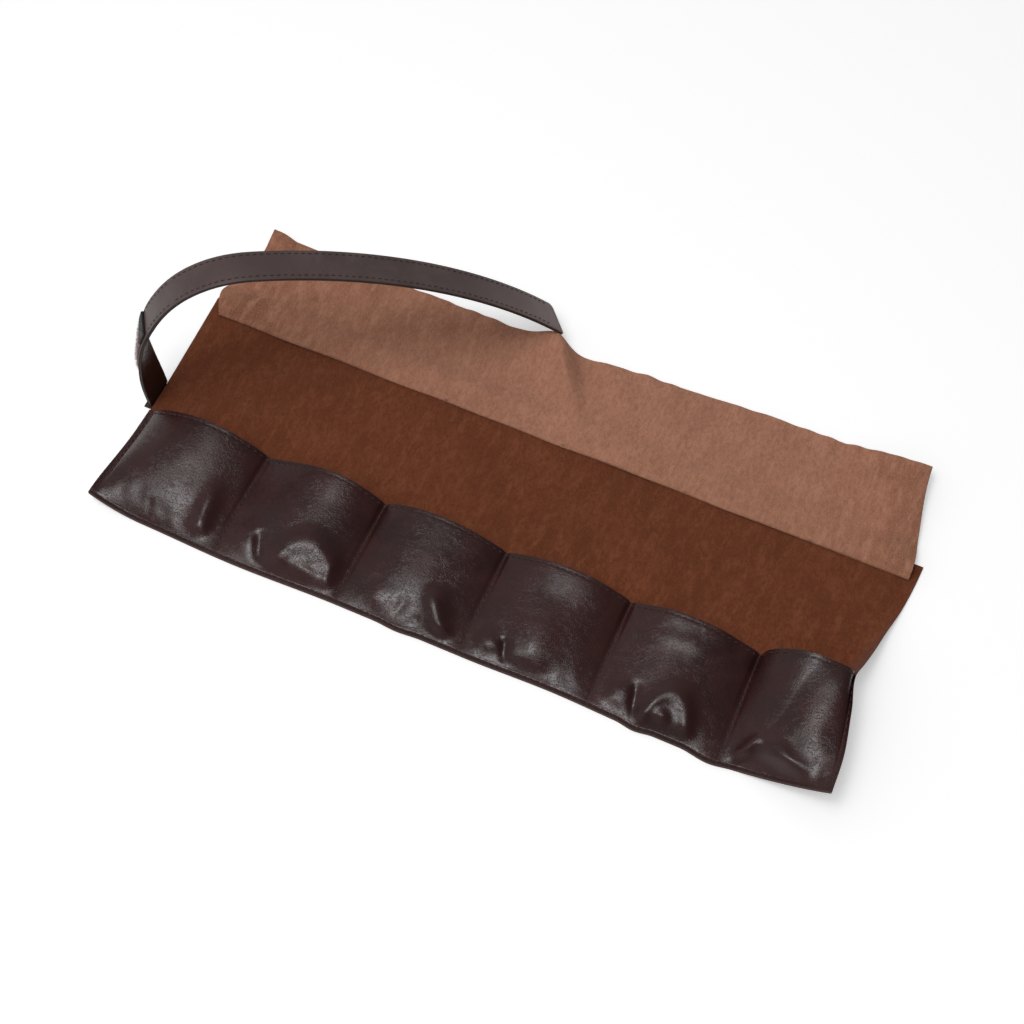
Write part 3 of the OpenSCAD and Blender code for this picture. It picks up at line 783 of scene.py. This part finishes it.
def flap_section(i):
    a, b = flap_ends(i)
    n = int(round((b - a) / FLAP_STEP))
    xs = np.linspace(a, b, n + 1)
    ws = dense(0.0, 1.0, 0.022, (1.0,), 0.008, 0.03)
    x, w = np.meshgrid(xs, ws, indexing="ij")
    hair = 0.03 * (i % 2)
    step = 0.5
    top, under = flap_at(x, w, FLAP_T + hair), flap_at(x, w, hair)

    def field_normals(z, flip):
        across = flap_at(x + step, w, z) - flap_at(x - step, w, z)
        outward = flap_at(x, w + 0.004, z) - flap_at(x, w - 0.004, z)
        d = np.cross(across, outward)
        d /= np.linalg.norm(d, axis=-1, keepdims=True)
        return -d if flip else d

    cut = ["near"] + ([] if i == 0 else ["left"]) + ([] if i == POCKETS - 1 else ["right"])
    piece = sheet(f"flap_hide_{i + 1}", top, under, [FLAP_SUEDE, UNDER_GRAIN, FLAP_EDGE], cut,
                  top_n=field_normals(FLAP_T, False), under_n=field_normals(0.0, True))
    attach(piece, f"flap_{i + 1}")
    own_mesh(piece)
    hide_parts(f"flap_panel_{i + 1}")


for section in range(POCKETS):
    flap_nose(section)
    flap_section(section)

# ---------------------------------------------------------------- strap
SPLIT_AT = 110.0
FLEX_AT = 200.0
# Reach of each strap bend to both sides (unused: the strap pieces are not bent), and the stitches' distance from the
# edges
LOW_REACH, HIGH_REACH = 10.0, 24.0
STRAP_STITCH = 2.3


def strap_sheet(name, s0, s1, slant=0.0):
    ss = np.linspace(s0, s1, int((s1 - s0) / 1.6) + 1)
    vs = np.concatenate([[-1, -0.97, -0.94, -0.91, -0.88], np.linspace(-0.84, 0.84, 17), [0.88, 0.91, 0.94, 0.97, 1]])
    s, v = np.meshgrid(ss, vs, indexing="ij")
    groove = 0.14 * np.exp(-((np.abs(v) - 0.91) / 0.025) ** 2) + 0.22 * ramp((np.abs(v) - 0.93) / 0.07)
    if slant:
        groove = groove + 0.14 * np.exp(-((s1 - s - 3.2) / 0.6) ** 2)
        corner = clip01((v * STRAP_W / 2 - STRAP_W / 2 + TIP_CORNER) / TIP_CORNER)
        s = s - (slant * v + TIP_CORNER * (1 - np.sqrt(1 - corner ** 2))) * ramp((s - s1 + 14) / 14)
    top = strap_at(s, v * STRAP_W / 2, LAYER - groove)
    under = strap_at(s, v * STRAP_W / 2, -LAYER + groove)
    return sheet(name, under, top, [STRAP_LINING, STRAP_GRAIN, STRAP_EDGE], ["left"], LAYERED_RIM)


def bend_low(piece):
    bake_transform(piece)


def bend_high(piece):
    start, end = strap_at(FLEX_AT - HIGH_REACH, 0, 0), strap_at(FLEX_AT + HIGH_REACH, 0, 0)
    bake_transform(piece)


def strap_stitch_rows(name, s0, s1, bend, nodes):
    s = np.arange(s0, s1 - STITCH_LEN, STITCH_PITCH)
    parts = []
    for number, side in enumerate((-1, 1)):
        v = np.full_like(s, side * (STRAP_W / 2 - STRAP_STITCH))
        parts.append(stitches_on(lambda a, b: strap_at(a, b, LAYER - 0.1), s, v, 1, 0, 71 + number))
    centres = np.concatenate([p[0] for p in parts])
    normals = np.concatenate([p[1] for p in parts])
    piece = tubes(name, (centres, normals, TAPER), THREAD_R, DARK_THREAD)
    bend(piece)
    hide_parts(*nodes)


lower = strap_sheet("strap_lower_band", 1.35, SPLIT_AT)
bend_low(lower)
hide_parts("strap_face_riser", "strap_back_riser", "strap_face_lower", "strap_back_lower")
upper = strap_sheet("strap_upper_band", SPLIT_AT, STRAP_LEN, TIP_SLANT)
bend_high(upper)
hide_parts("strap_face_upper", "strap_back_upper")
strap_stitch_rows("strap_stitches_lower", 12, SPLIT_AT, bend_low, ["strap_thread_riser", "strap_thread_lower"])
strap_stitch_rows("strap_stitches_upper", SPLIT_AT + 2, STRAP_LEN - 6, bend_high, ["strap_thread_upper"])


def strap_tab():
    """Thinned end of the strap, sewn under the body."""
    xs = np.linspace(STRAP_OUT - LAYER + 0.4, LEFT + 20, 24)
    ys = np.linspace(STRAP_Y - STRAP_W / 2, STRAP_Y + STRAP_W / 2, 12)
    x, y = np.meshgrid(xs, ys, indexing="ij")
    flat = np.zeros_like(x)
    piece = sheet("strap_tab_end", np.stack([x, y, flat + 0.75], -1), np.stack([x, y, flat + 0.02], -1),
                  [STRAP_LINING, UNDER_GRAIN, STRAP_EDGE])
    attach(piece, "leaf_1")
    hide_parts("strap_tab")


strap_tab()


# ---------------------------------------------------------------- hook and loop
def patch(name, s0, s1, n0, n1, wide, materials, bend, node, slot):
    ss = np.linspace(s0, s1, 40)
    vs = np.linspace(-wide / 2, wide / 2, 20)
    s, v = np.meshgrid(ss, vs, indexing="ij")
    nubs = 0.12 * ripples(s * 8, v * 8, 7, 91)
    piece = sheet(name, strap_at(s, v, min(n0, n1) + 0 * s), strap_at(s, v, max(n0, n1) + nubs), materials)
    bend(piece)
    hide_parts(node)


LOOP_FROM, LOOP_SPLIT, LOOP_TO = 42.0, 67.5, 76.0
LOOP_BASE = LAYER + 0.05
LOOP_T, LOOP_END_T = 0.8, 1.6
PATCH_W, PATCH_END_W = 16, 17
HOOK_TO = STRAP_LEN - 6
HOOK_FROM = HOOK_TO - 34
patch("loop_patch", LOOP_FROM, LOOP_SPLIT, LOOP_BASE, LOOP_BASE + LOOP_T, PATCH_W, [LOOP_TAPE] * 3,
      bend_low, "loop_tape", "loop_pile")
patch("loop_patch_end", LOOP_SPLIT - 0.5, LOOP_TO, LOOP_BASE, LOOP_BASE + LOOP_END_T, PATCH_END_W, [HOOK_TAPE] * 3,
      bend_low, "loop_tape", "loop_pile")
patch("hook_patch", HOOK_FROM, HOOK_TO, -LAYER - 1.1, -LAYER - 0.02, PATCH_W, [HOOK_TAPE] * 3,
      bend_high, "hook_tape", "hook_tape")


def loop_fibres():
    """Napped pile that stands up from the loop patch."""
    rng = np.random.default_rng(17)
    count = 1300
    s = rng.uniform(LOOP_FROM - 4, LOOP_SPLIT - 0.5, count)
    v = rng.uniform(-7.6, 7.6, count)
    t = np.linspace(0, 1, 5)
    long = rng.uniform(0.7, 2.2, (count, 1))
    lean_s, lean_v = rng.uniform(-0.8, 0.8, (2, count, 1))
    curl = rng.uniform(-0.5, 0.5, (count, 1)) * np.sin(math.pi * t)
    rooted = LOOP_BASE + LOOP_T - 0.1
    centres = strap_at(s[:, None] + lean_s * t + curl, v[:, None] + lean_v * t ** 2, rooted + long * t)
    normals = np.broadcast_to(np.array([0.0, 1.0, 0.2]), centres.shape)
    piece = tubes("loop_pile", (centres, normals, np.array([1, 0.9, 0.8, 0.65, 0.4])), 0.09, LOOP_PILE, 4, 1.0)
    bend_low(piece)


loop_fibres()


# ---------------------------------------------------------------- floor and light
def floor():
    """White table whose own glow reaches only the camera and mirrors, so that the object's shadow stays."""
    mesh = bpy.data.meshes.new("floor")
    far = 6.0
    mesh.from_pydata([(-far, -far, 0), (far, -far, 0), (far, far, 0), (-far, far, 0)], [], [(0, 1, 2, 3)])
    n = Nodes("floor_white")
    colour = n.mix(n.spread(n.noise(0.002, 2), 0.3, 0.7), (0.92, 0.92, 0.92), (0.94, 0.94, 0.94))
    mesh.materials.append(n.finish(colour, 0.9, Specular_IOR_Level=0.0))
    ray = n.add("ShaderNodeLightPath").outputs
    seen = n.math("MAXIMUM", n.math("MAXIMUM", ray["Is Camera Ray"], ray["Is Glossy Ray"]), ray["Is Transmission Ray"])
    glow = n.add("ShaderNodeEmission", {"Color": (1, 1, 1, 1), "Strength": n.math("MULTIPLY", seen, FLOOR_GLOW)})
    both = n.add("ShaderNodeAddShader", {0: n.shader.outputs[0], 1: glow.outputs[0]})
    n.tree.links.new(both.outputs[0], n.tree.nodes["Material Output"].inputs["Surface"])
    obj = bpy.data.objects.new("floor", mesh)
    bpy.context.scene.collection.objects.link(obj)


def softbox(name, place, target, size, radiance):
    light = bpy.data.lights.new(name, "AREA")
    light.shape = "RECTANGLE"
    light.size, light.size_y = size
    light.energy = radiance * math.pi * size[0] * size[1]
    obj = bpy.data.objects.new(name, light)
    bpy.context.scene.collection.objects.link(obj)
    look_at(obj, place, target)


def studio():
    """Pale all-round light, brighter overhead and on the left; white where it is seen directly."""
    world = bpy.data.worlds.new("studio")
    bpy.context.scene.world = world
    world.use_nodes = True
    nodes, links = world.node_tree.nodes, world.node_tree.links

    def spread(value, low, high, to_low, to_high):
        node = nodes.new("ShaderNodeMapRange")
        links.new(value, node.inputs["Value"])
        for key, number in zip(("From Min", "From Max", "To Min", "To Max"), (low, high, to_low, to_high)):
            node.inputs[key].default_value = number
        return node.outputs[0]

    def join(kind, a, b):
        node = nodes.new("ShaderNodeMath")
        node.operation = kind
        links.new(a, node.inputs[0])
        links.new(b, node.inputs[1])
        return node.outputs[0]

    split = nodes.new("ShaderNodeSeparateXYZ")
    links.new(nodes.new("ShaderNodeTexCoord").outputs["Generated"], split.inputs[0])
    overhead = spread(split.outputs["Z"], 0.1, 0.9, *SKY_LOW_HIGH)
    sideways = spread(split.outputs["X"], -0.4, 0.7, *SKY_LEFT_RIGHT)
    sky = join("MULTIPLY", overhead, sideways)
    seen = nodes.new("ShaderNodeLightPath").outputs["Is Camera Ray"]
    nodes["Background"].inputs["Color"].default_value = (1, 1, 1, 1)
    links.new(join("MAXIMUM", sky, seen), nodes["Background"].inputs["Strength"])


FLOOR_GLOW = 0.36
SKY_LOW_HIGH = (0.48, 0.40)
SKY_LEFT_RIGHT = (1.10, 0.25)
floor()
studio()
softbox("key", (-300, -500, 1950), (0, -40, 0), (1.2, 1.2), 3.2)
softbox("key_core", (-300, -495, 1930), (0, -40, 0), (0.45, 0.45), 7.0)
bpy.context.scene.view_settings.view_transform = "Standard"
